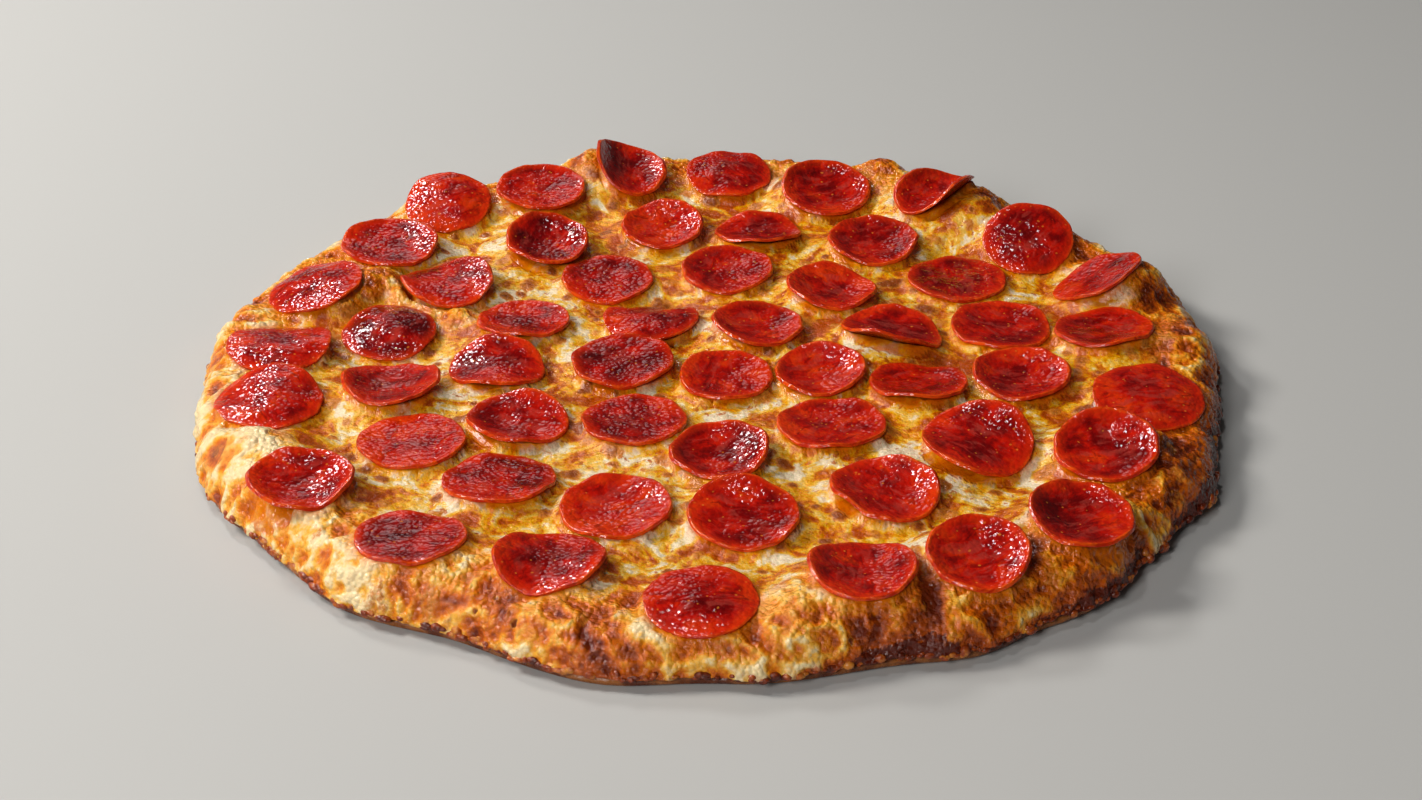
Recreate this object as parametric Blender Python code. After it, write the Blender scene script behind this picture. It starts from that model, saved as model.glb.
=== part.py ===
"""Whole pepperoni pizza: a thin dough base, melted cheese baked out to the rim, and curled slices.

Units are metres, +Z is up and the pizza lies on the XY plane.
Compass angles are in degrees, anticlockwise from +X, and 270 degrees is the near side.
"""

import math
import random

import bmesh
import bpy
from mathutils import Matrix, Vector, noise
from mathutils.bvhtree import BVHTree

# Whole pizza
PIZZA_RADIUS = 0.179
OUTLINE_WOBBLE = 0.0012
OUTLINE_LOBES = 3.4
RANDOM_SEED = 14

# Cheese surface
FIELD_LEVEL = 0.0108
FIELD_UNEVENNESS = 0.0011
FIELD_LUMP_SCALE = 34.0
RIM_RISE = 0.0042
RIM_SLOPE_START = 0.128
RIM_CREST = 0.158
RIM_ROUNDING = 0.0135
RIM_LUMPS = 0.0016
RIM_LUMP_SCALE = 62.0
CHEESE_EDGE_HEIGHT = 0.0032

# Cheese skin over the dough
CHEESE_SKIN = 0.0036
DOUGH_SHARE_OF_PUFFS = 0.5
CHEESE_LIP_INSET = 0.0012
CHEESE_LIP_HEIGHT = 0.0034
GAP = 0.0004

# Dough edge below the cheese, as (inset from the outline, height)
DOUGH_EDGE = ((0.0006, 0.0021), (0.0012, 0.0009), (0.0026, 0.0))

# Lattices: radii of their rings, and the angle between faces that shades as an edge
FIELD_RINGS = 15
FIELD_EDGE = 0.139
CHEESE_RIM_RINGS = (0.146, 0.153, 0.160, 0.1665, 0.172, 0.1758, PIZZA_RADIUS)
DOUGH_FIELD_RINGS = 7
DOUGH_RIM_RINGS = (0.150, 0.161, 0.1695, 0.1745, PIZZA_RADIUS)
SHARP_EDGE_ANGLE = 50

# Baked bubbles in the dough: compass angle, distance out, radius, height
PUFFS = (
    (204, 0.157, 0.024, 0.0050),
    (155, 0.133, 0.017, 0.0085),
    (159, 0.104, 0.011, 0.0050),
    (65, 0.160, 0.017, 0.0130),
    (46, 0.143, 0.015, 0.0060),
    (32, 0.166, 0.010, 0.0035),
    (50, 0.159, 0.023, 0.0080),
    (17, 0.172, 0.018, 0.0038),
    (3, 0.168, 0.016, 0.0045),
    (349, 0.170, 0.016, 0.0030),
    (357, 0.132, 0.014, 0.0050),
    (281, 0.165, 0.022, 0.0045),
    (253, 0.167, 0.016, 0.0030),
    (308, 0.126, 0.013, 0.0040),
    (9, 0.052, 0.010, 0.0020),
    (328, 0.170, 0.018, 0.0030),
    (314, 0.172, 0.014, 0.0020),
    (229, 0.170, 0.016, 0.0020),
    (183, 0.166, 0.010, 0.0012),
    (115, 0.170, 0.020, 0.0025),
    (80, 0.170, 0.018, 0.0030),
)

# Bulges and dips of the outline: compass angle, half width in degrees, how far out
BULGES = (
    (18, 12, 0.0052),
    (28, 8, 0.0016),
    (5, 9, 0.0028),
    (345, 9, -0.0020),
    (334, 8, 0.0024),
    (325, 6, -0.0014),
    (309, 9, 0.0042),
    (296, 9, 0.0060),
    (275, 9, 0.0022),
    (260, 10, 0.0044),
    (244, 8, -0.0032),
    (231, 7, 0.0026),
    (217, 7, -0.0010),
    (203, 13, 0.0034),
    (171, 12, 0.0024),
    (148, 8, -0.0022),
    (120, 10, -0.0014),
)

# Slices
SLICE_THICKNESS = 0.0018
SLICE_OVALNESS = 0.018
SLICE_WAVE = 0.0004
SLICE_RINGS = (0.0, 0.56, 1.0)
TIP_LIFT = 0.5
SEAT_REACH = 1.4
SEAT_CURL_SHARE = 0.4
SEAT_PRIORITY = 6
SEAT_LEAST_AWAY = 0.2
SEAT_SIZE = 1.15
LEVEL_SPOTS = 8
LEVEL_SPOT_DISTANCE = 0.7
NEAR_SLICE = 1.1
SAMPLE_STEP = 0.0015
SAMPLE_INSET = 0.004
EDGE_SAMPLES = (0.0, 0.33, 0.67, 1.0)

# Curl of each form: degrees of bend at the edge, along the slice's own axis and across it
FORMS = {
    "flat": (5, 4),
    "shallow": (17, 14),
    "bowl": (30, 26),
    "trough": (38, 6),
    "saddle": (26, -16),
    "fold": (74, 6),
    "half_fold": (56, 8),
    "dome": (-15, -12),
    "mound": (-27, -22),
    "drape": (-26, -5),
}

# Each row: x, y, width, form, heading of its axis, side it tips to, tip.
# Lengths are millimetres and angles are degrees, and each ring runs anticlockwise.
OUTER_RING = (
    (143, 49, 35, "flat", 60, 161, 27),
    (121, 85, 35, "dome", 0, 262, 26),
    (89, 119, 37, "fold", 138, 170, 12),
    (45, 132, 38, "bowl", 0, 290, 16),
    (7, 151, 35, "dome", 0, 275, 8),
    (-35, 148, 36, "half_fold", 5, 335, 22),
    (-68, 131, 36, "shallow", 20, 280, 7),
    (-104, 119, 34, "mound", 30, 275, 20),
    (-123, 84, 38, "shallow", 0, 280, 5),
    (-146, 47, 36, "dome", 0, 190, 13),
    (-153, 5, 37, "drape", 95, 100, 1),
    (-150, -36, 37, "drape", 170, 260, 6),
    (-130, -95, 36, "bowl", 20, 300, 5),
    (-92, -125, 35, "flat", 0, 90, 5),
    (-49, -137, 36, "saddle", 350, 60, 4),
    (-3, -159, 34, "dome", 0, 270, 5),
    (45, -147, 37, "trough", 0, 90, 6),
    (80, -139, 34, "bowl", 0, 270, 14),
    (113, -118, 36, "bowl", 350, 320, 9),
    (128, -75, 36, "bowl", 20, 245, 17),
    (148, -36, 38, "dome", 350, 285, 9),
    (140, 13, 36, "shallow", 0, 130, 8),
)
SECOND_RING = (
    (104, 22, 37, "shallow", 0, 270, 2),
    (92, 62, 38, "flat", 0, 90, 1),
    (62, 89, 37, "bowl", 0, 270, 7),
    (18, 100, 34, "trough", 90, 90, 4),
    (-19, 102, 34, "bowl", 0, 270, 11),
    (-63, 86, 34, "bowl", 30, 290, 13),
    (-98, 54, 36, "saddle", 30, 200, 4),
    (-116, 20, 35, "mound", 20, 265, 7),
    (-110, -24, 38, "trough", 0, 90, 8),
    (-99, -61, 37, "flat", 0, 90, 2),
    (-68, -87, 38, "flat", 0, 90, 8),
    (-30, -103, 37, "shallow", 30, 250, 3),
    (10, -108, 36, "shallow", 0, 270, 10),
    (55, -93, 38, "trough", 35, 255, 2),
    (87, -65, 37, "saddle", 50, 270, 11),
    (107, -18, 36, "bowl", 0, 250, 5),
)
THIRD_RING = (
    (71, -24, 35, "shallow", 90, 90, 8),
    (64, 14, 38, "trough", 75, 50, 11),
    (44, 49, 36, "bowl", 0, 340, 5),
    (6, 67, 36, "shallow", 0, 270, 4),
    (-39, 62, 35, "flat", 0, 270, 4),
    (-68, 26, 35, "shallow", 90, 90, 5),
    (-75, -9, 34, "saddle", 90, 270, 4),
    (-65, -48, 35, "trough", 65, 300, 4),
    (-26, -46, 37, "flat", 0, 90, 4),
    (3, -70, 35, "bowl", 20, 240, 7),
    (40, -51, 38, "shallow", 90, 90, 3),
)
INNER_RING = (
    (-31, -7, 36, "flat", 0, 270, 3),
    (-22, 27, 35, "drape", 92, 90, 7),
    (16, 19, 35, "bowl", 0, 350, 5),
    (38, -15, 34, "bowl", 0, 245, 7),
    (5, -16, 34, "shallow", 0, 290, 3),
)


class Slice:
    """One pepperoni slice as laid: its place, curl and tip, and the seat it presses into the cheese."""

    def __init__(self, row, rng):
        x, y, width, form, heading, tips_to, tip = row
        self.centre = Vector((x, y)) / 1000
        self.radius = width / 2000
        self.bends = tuple(math.radians(bend) / self.radius for bend in FORMS[form])
        self.heading = math.radians(heading)
        self.downhill = on_compass(tips_to, 1.0)
        self.tip = math.radians(tip)
        self.oval_phase = rng.uniform(0, math.tau)
        self.wave_phase = rng.uniform(0, math.tau)
        self.level = self.mean_level() + TIP_LIFT * self.radius * math.sin(self.tip)

    def mean_level(self):
        """Mean height of the bare cheese under the slice."""
        spots = [self.centre]
        distance = LEVEL_SPOT_DISTANCE * self.radius
        turns = [360 * step / LEVEL_SPOTS for step in range(LEVEL_SPOTS)]
        spots += [self.centre + on_compass(turn, distance) for turn in turns]
        return sum(bare_level(spot.x, spot.y) for spot in spots) / len(spots)

    def seat_height(self, x, y):
        """Height of the cheese that the slice rests on: its tipped plane, with part of its curl."""
        offset = Vector((x, y)) - self.centre
        limit = SEAT_SIZE * self.radius
        run = max(-limit, min(limit, offset.dot(self.downhill)))
        height = self.level - math.tan(self.tip) * run
        axis = on_compass(math.degrees(self.heading), 1.0)
        across = Vector((-axis.y, axis.x))
        for direction, bend in zip((axis, across), self.bends):
            reach = max(-limit, min(limit, offset.dot(direction)))
            share = SEAT_CURL_SHARE if bend > 0 else 1.0
            height += share * bend * reach * reach / 2
        return height

    def upper_level(self):
        """Rough height of the slice's curled edge, which says whether it lies over its neighbours."""
        return self.level + max(0.0, sum(self.bends)) * self.radius * self.radius / 4

    def matrix(self):
        """Where the slice's own mesh goes: turned to its heading, tipped, and set on its seat."""
        tip_axis = Vector((-self.downhill.y, self.downhill.x, 0))
        place = Matrix.Translation((self.centre.x, self.centre.y, self.level))
        return place @ Matrix.Rotation(self.tip, 4, tip_axis) @ Matrix.Rotation(self.heading, 4, "Z")


def on_compass(angle, distance):
    """Point on the XY plane at a compass angle and a distance from the origin."""
    turn = math.radians(angle)
    return Vector((distance * math.cos(turn), distance * math.sin(turn)))


def smooth_step(value):
    """Ease from 0 to 1."""
    value = max(0.0, min(1.0, value))
    return value * value * (3 - 2 * value)


def angle_between(first, second):
    """Smallest angle between two compass angles, in degrees."""
    return abs((first - second + 180) % 360 - 180)


def outline_radius(compass):
    """Radius of the pizza's uneven outline at a compass angle."""
    turn = math.radians(compass)
    spot = Vector((OUTLINE_LOBES * math.cos(turn), OUTLINE_LOBES * math.sin(turn), 3.7))
    radius = PIZZA_RADIUS + OUTLINE_WOBBLE * noise.noise(spot)
    for centre, half_width, out in BULGES:
        radius += out * smooth_step(1 - angle_between(compass, centre) / half_width)
    return radius


def bare_level(x, y):
    """Top of the cheese before any slice is laid: field, rim, bubbles and small lumps."""
    distance = math.hypot(x, y)
    compass = math.degrees(math.atan2(y, x))
    nominal = distance * PIZZA_RADIUS / outline_radius(compass)
    slope = smooth_step((nominal - RIM_SLOPE_START) / (RIM_CREST - RIM_SLOPE_START))
    height = FIELD_LEVEL + slope * RIM_RISE
    height += FIELD_UNEVENNESS * noise.noise(Vector((x, y, 0.1)) * FIELD_LUMP_SCALE)
    height += slope * RIM_LUMPS * noise.noise(Vector((x, y, 0.3)) * RIM_LUMP_SCALE)
    for angle, out, radius, rise in PUFFS:
        away = (Vector((x, y)) - on_compass(angle, out)).length / radius
        if away < 1:
            height += rise * (1 - away * away) ** 2
    return round_off(height, nominal)


def round_off(height, nominal):
    """Turn the rim down to the cheese's lower edge in a quarter of an ellipse."""
    inset = PIZZA_RADIUS - nominal
    if inset >= RIM_ROUNDING:
        return height
    across = 1 - max(0.0, inset) / RIM_ROUNDING
    return CHEESE_EDGE_HEIGHT + (height - CHEESE_EDGE_HEIGHT) * math.sqrt(1 - across * across)


def cheese_level(x, y, slices):
    """Top of the cheese, moulded to the slices that lie on it."""
    bare = bare_level(x, y)
    cover = 0.0
    total = 0.0
    moulded = 0.0
    for piece in slices:
        away = (Vector((x, y)) - piece.centre).length / piece.radius
        if away >= SEAT_REACH:
            continue
        hold = smooth_step((SEAT_REACH - away) / (SEAT_REACH - 1))
        weight = hold / max(SEAT_LEAST_AWAY, away) ** SEAT_PRIORITY
        cover = max(cover, hold)
        total += weight
        moulded += weight * piece.seat_height(x, y)
    if total == 0:
        return bare
    edge = edge_hold(x, y)
    return bare + edge * cover * (moulded / total - bare)


def edge_hold(x, y):
    """How far a slice can mould the cheese: fully inside the rim, and not at all at the outline."""
    compass = math.degrees(math.atan2(y, x))
    inset = outline_radius(compass) - math.hypot(x, y)
    return smooth_step(inset / RIM_ROUNDING)


def dough_level(x, y, slices):
    """Face between dough and cheese: under the cheese by its skin, and by more inside a puff."""
    bare = bare_level(x, y)
    rise = cheese_level(x, y, slices) - bare
    share = DOUGH_SHARE_OF_PUFFS if rise > 0 else 1.0
    return bare + share * rise - CHEESE_SKIN


def spaced_radii(count, last, rim):
    """Ring radii: even ones across the field, then the ones given for the rim."""
    return [last * ring / count for ring in range(count + 1)] + list(rim)


def add_lattice(mesh, radii):
    """Add a round sheet: a square grid whose square rings are pressed into circles of these radii."""
    rings = len(radii) - 1
    grid = bmesh.ops.create_grid(mesh, x_segments=2 * rings, y_segments=2 * rings, size=rings)
    for vert in grid["verts"]:
        column, row = vert.co.x, vert.co.y
        ring = round(max(abs(column), abs(row)))
        if ring == 0:
            vert.co = (0, 0, 0)
            continue
        if abs(column) >= abs(row):
            compass = 45 * row / column + (180 if column < 0 else 0)
        else:
            compass = 90 - 45 * column / row + (180 if row < 0 else 0)
        spot = on_compass(compass, radii[ring])
        vert.co = (spot.x, spot.y, 0)
    return grid["verts"]


def border_edges(verts):
    """Edges on the open border of a sheet."""
    return list({edge for vert in verts for edge in vert.link_edges if edge.is_boundary})


def to_outline(vert):
    """Stretch a lattice point from the nominal circle to the pizza's real outline."""
    compass = math.degrees(math.atan2(vert.co.y, vert.co.x))
    vert.co.xy = vert.co.xy * (outline_radius(compass) / PIZZA_RADIUS)


def is_outermost(vert):
    """Whether a lattice point lies on the nominal outline."""
    return math.hypot(vert.co.x, vert.co.y) > (DOUGH_RIM_RINGS[-2] + PIZZA_RADIUS) / 2


def draw_in(vert, inset, height):
    """Move an outline point in by an inset and to a height."""
    inward = vert.co.xy.normalized() * inset
    vert.co = (vert.co.x - inward.x, vert.co.y - inward.y, height)


def shape_cheese_top(verts, slices):
    """Give the sheet the form of the cheese's surface."""
    for vert in verts:
        to_outline(vert)
        vert.co.z = cheese_level(vert.co.x, vert.co.y, slices)


def shape_dough_top(verts, slices, drop):
    """Give the sheet the form of the face between dough and cheese, lowered by drop."""
    for vert in verts:
        outermost = is_outermost(vert)
        to_outline(vert)
        if outermost:
            draw_in(vert, CHEESE_LIP_INSET, CHEESE_LIP_HEIGHT - drop)
        else:
            vert.co.z = dough_level(vert.co.x, vert.co.y, slices) - drop


def material(name, colour, roughness, coat=0.0):
    """Plain food material."""
    finish = bpy.data.materials.new(name)
    finish.use_nodes = True
    shader = finish.node_tree.nodes["Principled BSDF"]
    shader.inputs["Base Color"].default_value = (*colour, 1)
    shader.inputs["Roughness"].default_value = roughness
    shader.inputs["Metallic"].default_value = 0.0
    shader.inputs["Coat Weight"].default_value = coat
    return finish


def add_object(name, mesh, finish, collection):
    """Turn a bmesh into a smooth-shaded object of the pizza, in triangles so that contacts are exact."""
    bmesh.ops.recalc_face_normals(mesh, faces=mesh.faces)
    bmesh.ops.triangulate(mesh, faces=mesh.faces)
    data = bpy.data.meshes.new(name)
    mesh.to_mesh(data)
    mesh.free()
    data.materials.append(finish)
    data.shade_smooth()
    data.set_sharp_from_angle(angle=math.radians(SHARP_EDGE_ANGLE))
    item = bpy.data.objects.new(name, data)
    collection.objects.link(item)
    return item


def make_dough(collection, slices):
    """Dough base: flat below, a dark baked edge, and risen under the rim and the puffs."""
    mesh = bmesh.new()
    radii = spaced_radii(DOUGH_FIELD_RINGS, FIELD_EDGE, DOUGH_RIM_RINGS)
    top = add_lattice(mesh, radii)
    edges = border_edges(top)
    shape_dough_top(top, slices, GAP)
    inset_before = CHEESE_LIP_INSET
    for inset, height in DOUGH_EDGE:
        ring = bmesh.ops.extrude_edge_only(mesh, edges=edges)["geom"]
        edges = [item for item in ring if isinstance(item, bmesh.types.BMEdge)]
        for vert in ring:
            if isinstance(vert, bmesh.types.BMVert):
                draw_in(vert, inset - inset_before, height)
        inset_before = inset
    bmesh.ops.edgeloop_fill(mesh, edges=edges)
    finish = material("baked_dough", (0.42, 0.17, 0.05), 0.75)
    return add_object("dough_base", mesh, finish, collection)


def make_cheese(collection, slices):
    """Melted cheese: one skin over the whole dough, out to the rim and down its side."""
    mesh = bmesh.new()
    top = add_lattice(mesh, spaced_radii(FIELD_RINGS, FIELD_EDGE, CHEESE_RIM_RINGS))
    below = add_lattice(mesh, spaced_radii(DOUGH_FIELD_RINGS, FIELD_EDGE, DOUGH_RIM_RINGS))
    borders = border_edges(top) + border_edges(below)
    shape_cheese_top(top, slices)
    shape_dough_top(below, slices, 0.0)
    bmesh.ops.bridge_loops(mesh, edges=borders)
    finish = material("melted_cheese", (0.80, 0.58, 0.24), 0.4, coat=0.3)
    return add_object("melted_cheese", mesh, finish, collection)


def curl(position, bends):
    """Bend a flat slice's point up about both of its axes, keeping its thickness."""
    along, across, height = position
    first, second = bends
    arc = 1 / first - height
    along_curled = arc * math.sin(first * along)
    height = 1 / first - arc * math.cos(first * along)
    arc = 1 / second - height
    across_curled = arc * math.sin(second * across)
    height = 1 / second - arc * math.cos(second * across)
    return Vector((along_curled, across_curled, height))


def shape_slice(mesh, piece):
    """Turn a flat round plate into the curled, slightly oval and wavy slice."""
    for vert in mesh.verts:
        turn = math.atan2(vert.co.y, vert.co.x)
        out = math.hypot(vert.co.x, vert.co.y) / piece.radius
        stretch = 1 + SLICE_OVALNESS * math.cos(2 * turn + piece.oval_phase)
        wave = SLICE_WAVE * out * out * math.cos(3 * turn + piece.wave_phase)
        flat = (vert.co.x * stretch, vert.co.y * stretch, vert.co.z + wave)
        vert.co = curl(flat, piece.bends)


def make_slice(name, piece, finish, collection):
    """One slice, at its place and tip but not yet lowered onto the cheese."""
    mesh = bmesh.new()
    top = add_lattice(mesh, [ring * piece.radius for ring in SLICE_RINGS])
    bmesh.ops.translate(mesh, verts=top, vec=(0, 0, SLICE_THICKNESS))
    grown = bmesh.ops.extrude_face_region(mesh, geom=list(mesh.faces))["geom"]
    lower = [item for item in grown if isinstance(item, bmesh.types.BMVert)]
    bmesh.ops.translate(mesh, verts=lower, vec=(0, 0, -SLICE_THICKNESS))
    shape_slice(mesh, piece)
    item = add_object(name, mesh, finish, collection)
    item.matrix_world = piece.matrix()
    return item


def world_tree(item, place):
    """Points along an object's edges, and a search tree of its faces, in the pizza's frame."""
    verts = [place @ vert.co for vert in item.data.vertices]
    ends = [(verts[edge.vertices[0]], verts[edge.vertices[1]]) for edge in item.data.edges]
    points = [first.lerp(last, part) for first, last in ends for part in EDGE_SAMPLES]
    return points, BVHTree.FromPolygons(verts, [face.vertices[:] for face in item.data.polygons])


def sample_spots(points, support_points, piece):
    """Places at which a slice's height over its support is measured."""
    reach = piece.radius * NEAR_SLICE
    steps = int(reach / SAMPLE_STEP)
    grid = [step * SAMPLE_STEP for step in range(-steps, steps + 1)]
    spots = [(piece.centre.x + x, piece.centre.y + y) for x in grid for y in grid]
    spots += [tuple(point.xy.lerp(piece.centre, SAMPLE_INSET)) for point in points]
    near = [point for point in support_points if (point.xy - piece.centre).length < reach]
    return spots + [(point.x, point.y) for point in near]


def settle(item, piece, support):
    """Lower a slice until it lies on the cheese, or on a slice laid before, with only the gap left."""
    points, tree = world_tree(item, item.matrix_world)
    clearance = []
    for support_points, support_tree in support:
        for x, y in sample_spots(points, support_points, piece):
            below = support_tree.ray_cast(Vector((x, y, 1)), Vector((0, 0, -1)))[0]
            if below is None:
                continue
            above = tree.ray_cast(Vector((x, y, -1)), Vector((0, 0, 1)))[0]
            if above is not None:
                clearance.append(above.z - below.z)
    item.matrix_world = Matrix.Translation((0, 0, GAP - min(clearance))) @ item.matrix_world
    return world_tree(item, item.matrix_world)


def make_slices(collection, slices, cheese):
    """All the slices, each laid on the cheese and on its flatter neighbours."""
    finish = material("pepperoni", (0.36, 0.03, 0.02), 0.35, coat=0.3)
    items = [make_slice(f"pepperoni_{number:02d}", piece, finish.copy(), collection)
             for number, piece in enumerate(slices, start=1)]
    support = [world_tree(cheese, Matrix())]
    for piece, item in sorted(zip(slices, items), key=lambda pair: pair[0].upper_level()):
        near = [support[0]] + [laid[:2] for laid in support[1:] if touches(piece, laid[2])]
        support.append((*settle(item, piece, near), piece))
    return items


def touches(piece, other):
    """Whether two slices may overlap in plan."""
    return (piece.centre - other.centre).length < (piece.radius + other.radius) * NEAR_SLICE


def centre_on_origin(items):
    """Move everything so that the footprint's middle is the origin."""
    corners = [vert.co for vert in items[1].data.vertices]
    middle_x = (min(spot.x for spot in corners) + max(spot.x for spot in corners)) / 2
    middle_y = (min(spot.y for spot in corners) + max(spot.y for spot in corners)) / 2
    for item in items:
        item.location.x -= middle_x
        item.location.y -= middle_y


def main():
    for item in list(bpy.data.objects):
        bpy.data.objects.remove(item, do_unlink=True)
    collection = bpy.data.collections.new("pepperoni_pizza")
    bpy.context.scene.collection.children.link(collection)
    rng = random.Random(RANDOM_SEED)
    rows = OUTER_RING + SECOND_RING + THIRD_RING + INNER_RING
    slices = [Slice(row, rng) for row in rows]
    dough = make_dough(collection, slices)
    cheese = make_cheese(collection, slices)
    items = make_slices(collection, slices, cheese)
    centre_on_origin([dough, cheese] + items)


main()
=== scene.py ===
# A whole pepperoni pizza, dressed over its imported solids: the baked dough, the melted cheese
# with its blisters and crusted rim, the curled pepperoni slices, and baked beads at the foot.
# Lengths are metres. Compass angles are degrees, anticlockwise from +X; 270 is the near side.

import math
import random

import bpy
import numpy as np
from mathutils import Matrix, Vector, noise
from mathutils.bvhtree import BVHTree
from mathutils.kdtree import KDTree


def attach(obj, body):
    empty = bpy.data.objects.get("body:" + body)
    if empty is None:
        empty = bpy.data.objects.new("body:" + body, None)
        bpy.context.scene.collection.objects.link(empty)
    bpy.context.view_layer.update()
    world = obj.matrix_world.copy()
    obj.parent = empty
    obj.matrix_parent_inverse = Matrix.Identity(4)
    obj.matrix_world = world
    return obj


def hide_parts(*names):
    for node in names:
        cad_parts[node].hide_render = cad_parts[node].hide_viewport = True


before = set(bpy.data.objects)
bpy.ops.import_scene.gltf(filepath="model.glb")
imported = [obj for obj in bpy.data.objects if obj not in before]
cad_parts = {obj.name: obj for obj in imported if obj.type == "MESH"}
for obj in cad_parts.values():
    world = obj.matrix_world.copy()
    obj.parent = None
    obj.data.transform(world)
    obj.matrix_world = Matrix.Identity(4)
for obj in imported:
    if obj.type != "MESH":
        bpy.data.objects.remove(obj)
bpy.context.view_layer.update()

SEED = 41

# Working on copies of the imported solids
MERGE_DISTANCE = 0.00001
QUAD_ANGLE = 70

# Rays are cast this far beside a point, so that they don't run along an edge
RAY_SHIFT = 0.000013

# Camera: the photograph's angle
CAMERA_PLACE = (-0.0008, -0.7401, 0.4072)
CAMERA_AIM = (-0.0008, -0.0066, 0.0)
CAMERA_LENS = 60.31
SENSOR_WIDTH = 36.0

# Lights: name, place, size, power in watts and tint
LIGHTS = (
    ("key_light", (-1.21, 0.22, 1.06), 0.42, 18.5, (1.0, 0.96, 0.90)),
    ("glint_light", (-0.72, 0.92, 1.00), 0.22, 6.0, (1.0, 0.98, 0.95)),
    ("top_light", (-0.25, 0.15, 1.60), 0.14, 2.6, (1.0, 0.99, 0.98)),
    ("front_light", (-0.60, -1.15, 0.80), 0.50, 10.0, (1.0, 0.98, 0.95)),
    ("back_light", (-0.35, 1.45, 0.85), 0.40, 0.8, (0.97, 0.98, 1.0)),
)
AMBIENT_TINT = (1.0, 0.98, 0.96, 1.0)
AMBIENT_STRENGTH = 0.035
FLOOR_SIZE = 6.0

# Slices. SLICE_RING is how far out a slice's middle ring of points is, as a share, and
# SLICE_SPACING sets the patterns of neighbouring slices so far apart that no two look alike
SLICE_COUNT = 54
SLICE_LEVELS = 3
SLICE_RIM_CREASE = 0.85
SLICE_GROWTH = 1.012
SLICE_RING = 0.56
SLICE_SPACING = 0.05
FOLDED_SLICES = (3, 6)
FOLDED_CALM = 0.35
RIM_EDGE_ANGLE = 50
RIM_THINNING = 0.0007
RAGGED_RIM = 0.00045

# Waves round a slice's rim, the dents and puckers of its skin, and the teeth of its ragged edge
RUFFLE_HEIGHT = 0.00075
RUFFLE_TURNS = (2, 3, 5, 7)
RUFFLE_SHARES = (0.4, 1.0)
DENT_HEIGHT = 0.0005
DENT_SIZE = 0.0085
PUCKER_HEIGHT = 0.00016
PUCKER_SIZE = 0.0026
RAGGED_TEETH = 3

# Steps from one slice to the next through the noise of its dents, puckers and ragged rim
DENT_STEP = 7.3
PUCKER_STEP = 3.1
RAGGED_STEP = 5.7

# Cheese. The rim starts and is full at shares of the way out. A face or point whose normal's Z
# is below TOP_LEAST belongs to the underside, and the relief fades in as that Z goes through
# TOP_FADE. All pairs named FADE are where an effect starts to change and where it stops.
CHEESE_LEVELS = 2
COVER_MARGIN = 0.0022
TOP_LEAST = -0.2
TOP_FADE = (-0.45, 0.0)
RIM_START = 0.80
RIM_FULL = 0.90
RIM_WANDER = 0.02
RIM_WANDER_SIZE = 0.02
OUTLINE_SECTORS = 120

# Soft relief of the flat cheese: lumps, smaller lumps and melted strands, as height and size
FIELD_LUMPS = (0.0005, 0.015)
FIELD_SMALL_LUMPS = (0.0003, 0.006)
FIELD_STRANDS = (0.00035, 0.0055)
FIELD_WARP = (0.004, 0.012)
STRAND_SHARPNESS = 2.2
FIELD_RELIEF = 0.0008

# Crusty relief of the rim: lumps, ropes, strings and beads, as height and size
RIM_LUMPS = (0.0013, 0.013)
RIM_ROPES = (0.0009, 0.0085)
RIM_STRINGS = (0.0005, 0.0036)
RIM_BEADS = (0.0005, 0.0042)
ROPE_SHARPNESS = 2.4
RIM_BEAD_SHARPNESS = 1.6
RIM_BEAD_HEIGHT_WEIGHT = 0.8
RIM_RELIEF = 0.0016

# Blisters: heights, gaps and fades are shares of their radii. RIM_CALM is how far the rim takes
# away from them
RIM_CALM = 0.6
BLISTER_TRIES = 3600
BLISTER_RADII = (0.0016, 0.0048)
BLISTER_STRETCH = (1.0, 1.7)
BLISTER_HEIGHT = 0.17
BLISTER_SPACING = 1.35
BLISTER_REACH = 1.35
BLISTER_LONGEST = 1.8
BLISTER_RAGGED = 0.25
BLISTER_RAGGED_SIZE = 0.0022
BLISTER_FADE = (0.15, 1.2)
TOAST_FADE = (0.45, 1.3)
TOAST_POWER = 0.8

# How the cheese meets the slices, and how far their oil runs, which is also painted shade round them
PRESSED_IN = 0.00012
STICK_GAP = 0.0024
LOOSE_GAP = 0.0055
COLLAR_WIDTH = 0.0035
COLLAR_SHARE = 0.8
OIL_WIDTH = 0.0042

# Pores and pits of the puffed rim: place, radius and depth
PORES = (
    (-0.0583, -0.1629, 0.0012, 0.0017),
    (-0.0644, -0.1525, 0.0008, 0.0009),
    (-0.0668, -0.1444, 0.0007, 0.0008),
    (-0.0672, -0.1633, 0.0007, 0.0008),
    (-0.0700, -0.1560, 0.0006, 0.0006),
    (0.0398, -0.1700, 0.0007, 0.0008),
    (0.0373, -0.1598, 0.0008, 0.0009),
)
PORE_FADE = (0.2, 1.2)
PORE_DARK_FADE = (0.5, 1.2)
PORE_TOAST = 1.5

# Swells of the cheese between slices: place, radius and height
SWELLS = (
    (-0.1345, 0.0400, 0.0095, 0.0045),
    (-0.1285, 0.0490, 0.0105, 0.0058),
    (-0.1210, 0.0550, 0.0115, 0.0062),
    (-0.1125, 0.0480, 0.0100, 0.0050),
    (-0.1030, 0.0410, 0.0100, 0.0050),
    (-0.0930, 0.0320, 0.0090, 0.0042),
)
SWELL_FADE = (0.0, 1.3)
SWELL_CLEARANCE = 0.0016
SWELL_CRUST_HEIGHT = 0.003

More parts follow.
